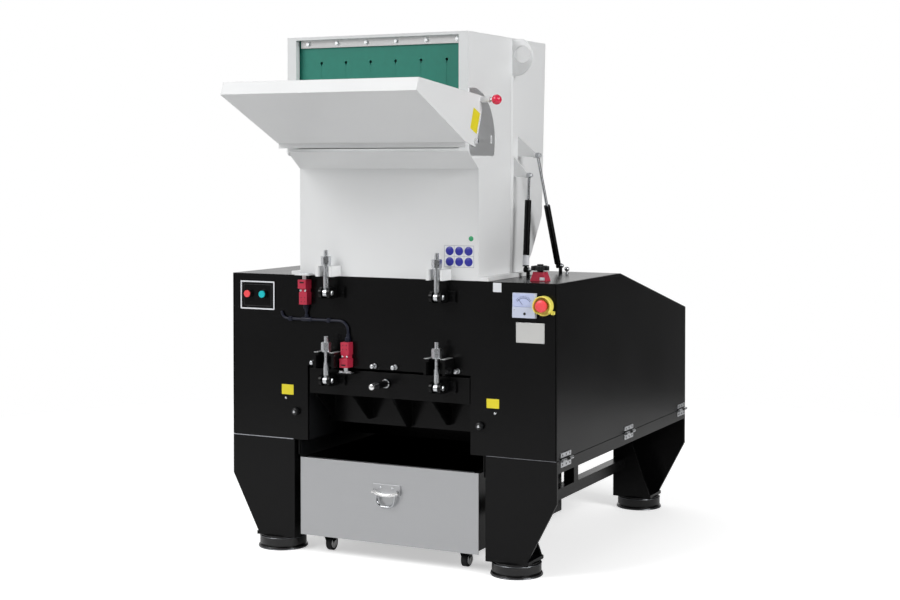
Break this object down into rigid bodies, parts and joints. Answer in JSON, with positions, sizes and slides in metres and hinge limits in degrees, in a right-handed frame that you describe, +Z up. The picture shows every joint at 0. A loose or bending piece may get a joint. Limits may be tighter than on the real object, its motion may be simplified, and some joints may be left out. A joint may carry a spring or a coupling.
{
  "type": "plastic granulator",
  "caption": "Sheet-metal granulator on padded legs: tilting hopper with a folding feed tray and slit curtain, clamped cutting chamber, sloped cabinet and a wheeled collecting bin",
  "frame": {"origin": "On the floor under the middle of the machine's bounding box", "axes": "X to the right seen from the front, Y to the back, Z up; the feed tray and the bin face -Y"},
  "size_m": [1.259, 1.7774, 1.767],
  "materials": {
    "hopper_paint": "satin",
    "black_paint": "gloss",
    "cast_chamber": "satin",
    "quadrant_steel": "brushed",
    "bolt_zinc": "satin",
    "strut_black": "gloss",
    "strut_chrome": "polished",
    "stainless": "brushed",
    "chrome_handle": "polished",
    "caster_black": "gloss",
    "caster_rubber": "matt",
    "pad_rubber": "matt",
    "curtain_rubber": "matt",
    "panel_grey": "satin",
    "meter_face": "matt",
    "red_plastic": "gloss",
    "teal_plastic": "gloss",
    "black_plastic": "matt"
  },
  "bodies": {
    "machine": {"chamber_front_plate": "black_paint", "chamber_walls": "cast_chamber", "top_deck": "black_paint", "rear_cover": "black_paint", "rotor": "cast_chamber", "right_housing": "black_paint", "left_housing": "black_paint", "door_hinge_rails": "bolt_zinc", "cabinet_frame": "black_paint", "legs": "black_paint", "side_stretchers": "black_paint", "anti_vibration_pads": "pad_rubber", "deck_brackets": "black_paint", "front_plate_fittings": "black_paint", "control_panel": "panel_grey", "panel_meter": "meter_face", "lock_block": "red_plastic", "safety_switches": "red_plastic", "cradle_hinge_pins": "cast_chamber", "switch_cable": "black_plastic"},
    "hopper": {"hopper_sides": "hopper_paint", "hopper_front": "hopper_paint", "hopper_mouth_frame": "hopper_paint", "hopper_roof": "hopper_paint", "hopper_back": "hopper_paint", "hopper_flange": "hopper_paint", "hopper_hinge_arms": "black_paint", "hopper_lugs": "hopper_paint", "hopper_side_fittings": "hopper_paint", "quadrant_plates": "quadrant_steel", "curtain_clamp_strip": "quadrant_steel", "splash_curtain": "curtain_rubber"},
    "tray": {"feed_tray_floor": "hopper_paint", "feed_tray_sides": "hopper_paint"},
    "plunger": {"tray_plunger": "red_plastic"},
    "lift_tubes": {"lift_strut_tubes": "strut_black"},
    "lift_rods": {"lift_strut_rods": "strut_chrome"},
    "damper_tubes": {"damper_strut_tubes": "strut_black"},
    "damper_rods": {"damper_strut_rods": "strut_chrome"},
    "cradle": {"screen_cradle": "black_paint", "cradle_fittings": "black_paint"},
    "upper_right_bolt": {"upper_right_swing_bolt": "bolt_zinc"},
    "upper_left_bolt": {"upper_left_swing_bolt": "bolt_zinc"},
    "lower_right_bolt": {"lower_right_swing_bolt": "bolt_zinc"},
    "lower_left_bolt": {"lower_left_swing_bolt": "bolt_zinc"},
    "right_door": {"right_side_door": "black_paint"},
    "left_door": {"left_side_door": "black_paint"},
    "stop_push": {"stop_button": "red_plastic"},
    "start_push": {"start_button": "teal_plastic"},
    "estop_push": {"emergency_stop": "red_plastic"},
    "star_knob": {"lock_star_knob": "black_plastic"},
    "bin": {"bin_body": "black_paint", "bin_front": "stainless", "rear_caster_forks": "caster_black"},
    "bin_bail": {"bin_drop_handle": "chrome_handle"},
    "right_fork": {"right_caster_fork": "caster_black"},
    "left_fork": {"left_caster_fork": "caster_black"},
    "right_wheel": {"right_caster_wheel": "caster_rubber"},
    "left_wheel": {"left_caster_wheel": "caster_rubber"},
    "rear_wheels": {"rear_caster_wheels": "caster_rubber"}
  },
  "joints": [
    {"name": "hopper_tilt", "type": "hinge", "parent": "machine", "child": "hopper", "pos_m": [0, -0.01175, 0.985], "axis": [-1, 0, 0], "range_deg": [0, 60]},
    {"name": "tray_fold", "type": "hinge", "parent": "hopper", "child": "tray", "pos_m": [0, -0.48175, 1.414], "axis": [-1, 0, 0], "range_deg": [0, 64]},
    {"name": "plunger_pull", "type": "slide", "parent": "tray", "child": "plunger", "axis": [1, 0, 0], "range_m": [0, 0.012], "stiffness_N_per_m": 400, "springref_m": -0.012},
    {"name": "lift_strut_swing", "type": "hinge", "parent": "machine", "child": "lift_tubes", "pos_m": [0, -0.18175, 0.984], "axis": [-1, 0, 0], "range_deg": [0, 48.43]},
    {"name": "lift_strut_extend", "type": "slide", "parent": "lift_tubes", "child": "lift_rods", "axis": [0, 0.0846, 0.9964], "range_m": [0, 0.1503]},
    {"name": "damper_strut_swing", "type": "hinge", "parent": "machine", "child": "damper_tubes", "pos_m": [0, 0.06825, 0.984], "axis": [-1, 0, 0], "range_deg": [0, 61.4]},
    {"name": "damper_strut_close", "type": "slide", "parent": "damper_tubes", "child": "damper_rods", "axis": [0, 0.4284, -0.9036], "range_m": [0, 0.0808]},
    {"name": "cradle_drop", "type": "hinge", "parent": "machine", "child": "cradle", "pos_m": [0, 0.02525, 0.47], "axis": [1, 0, 0], "range_deg": [0, 12]},
    {"name": "upper_right_bolt_swing", "type": "hinge", "parent": "machine", "child": "upper_right_bolt", "pos_m": [0.21, -0.47475, 0.905], "axis": [1, 0, 0], "range_deg": [0, 110]},
    {"name": "lower_right_bolt_swing", "type": "hinge", "parent": "cradle", "child": "lower_right_bolt", "pos_m": [0.21, -0.47475, 0.608], "axis": [1, 0, 0], "range_deg": [0, 95]},
    {"name": "upper_left_bolt_swing", "type": "hinge", "parent": "machine", "child": "upper_left_bolt", "pos_m": [-0.21, -0.47475, 0.905], "axis": [1, 0, 0], "range_deg": [0, 110]},
    {"name": "lower_left_bolt_swing", "type": "hinge", "parent": "cradle", "child": "lower_left_bolt", "pos_m": [-0.21, -0.47475, 0.608], "axis": [1, 0, 0], "range_deg": [0, 95]},
    {"name": "right_door_open", "type": "hinge", "parent": "machine", "child": "right_door", "pos_m": [0.624, -0.42975, 0.39], "axis": [0, 1, 0], "range_deg": [0, 95]},
    {"name": "left_door_open", "type": "hinge", "parent": "machine", "child": "left_door", "pos_m": [-0.624, -0.42975, 0.39], "axis": [0, -1, 0], "range_deg": [0, 95]},
    {"name": "stop_press", "type": "slide", "parent": "machine", "child": "stop_push", "axis": [0, 1, 0], "range_m": [0, 0.004], "stiffness_N_per_m": 800, "springref_m": -0.003},
    {"name": "start_press", "type": "slide", "parent": "machine", "child": "start_push", "axis": [0, 1, 0], "range_m": [0, 0.004], "stiffness_N_per_m": 800, "springref_m": -0.003},
    {"name": "estop_press", "type": "slide", "parent": "machine", "child": "estop_push", "axis": [0, 1, 0], "range_m": [0, 0.004], "stiffness_N_per_m": 1500, "springref_m": -0.004},
    {"name": "star_knob_turn", "type": "hinge", "parent": "machine", "child": "star_knob", "pos_m": [0.512, -0.32175, 0.989], "axis": [0, 0, 1], "continuous": true},
    {"name": "bin_pull", "type": "slide", "parent": "machine", "child": "bin", "axis": [0, -1, 0], "range_m": [0, 0.5]},
    {"name": "bail_lift", "type": "hinge", "parent": "bin", "child": "bin_bail", "pos_m": [0, -0.44275, 0.238], "axis": [-1, 0, 0], "range_deg": [0, 90]},
    {"name": "right_caster_swivel", "type": "hinge", "parent": "bin", "child": "right_fork", "pos_m": [0.262, -0.36975, 0.062], "axis": [0, 0, 1], "continuous": true},
    {"name": "right_caster_roll", "type": "hinge", "parent": "right_fork", "child": "right_wheel", "pos_m": [0.262, -0.35375, 0.025], "axis": [1, 0, 0], "continuous": true},
    {"name": "left_caster_swivel", "type": "hinge", "parent": "bin", "child": "left_fork", "pos_m": [-0.262, -0.36975, 0.062], "axis": [0, 0, 1], "continuous": true},
    {"name": "left_caster_roll", "type": "hinge", "parent": "left_fork", "child": "left_wheel", "pos_m": [-0.262, -0.35375, 0.025], "axis": [1, 0, 0], "continuous": true},
    {"name": "rear_casters_roll", "type": "hinge", "parent": "bin", "child": "rear_wheels", "pos_m": [0, 0.27625, 0.025], "axis": [1, 0, 0], "continuous": true}
  ],
  "couplings": [
    {"joint": "lift_strut_swing", "follows": "hopper_tilt", "ratio": 0.7988},
    {"joint": "lift_strut_extend", "follows": "hopper_tilt", "m_per_rad": 0.14256},
    {"joint": "damper_strut_swing", "follows": "hopper_tilt", "ratio": 1.015},
    {"joint": "damper_strut_close", "follows": "hopper_tilt", "m_per_rad": 0.07618}
  ]
}
